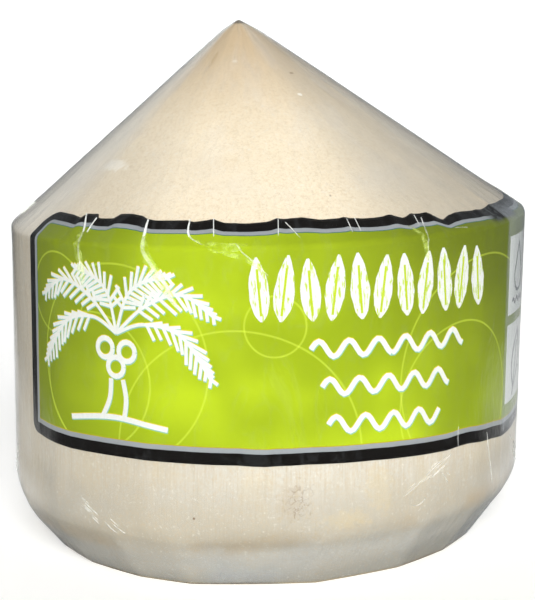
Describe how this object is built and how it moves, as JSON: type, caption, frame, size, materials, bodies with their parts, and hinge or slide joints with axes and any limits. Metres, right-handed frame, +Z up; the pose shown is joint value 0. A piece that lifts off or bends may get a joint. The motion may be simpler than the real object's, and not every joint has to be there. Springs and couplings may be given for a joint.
{
  "type": "trimmed young coconut",
  "caption": "Young coconut pared to a flat-footed drum with a pointed cone on top, with a printed label round it under clear film.",
  "frame": {"origin": "on the surface that the fruit stands on, under the middle of its box", "axes": "+Z up from the flat foot to the tip, -Y out of the front of the label, +X to the right of the front"},
  "size_m": [0.1267, 0.1246, 0.1237],
  "materials": {
    "husk": "matte pared husk, cream, with fine upright fibres and tan stains",
    "label": "glossy yellow-green print with a black and grey border",
    "film": "thin clear wrapping film, tight and slightly creased"
  },
  "bodies": {
    "root": {"coconut": "husk", "label": "label", "film": "film"}
  },
  "joints": []
}
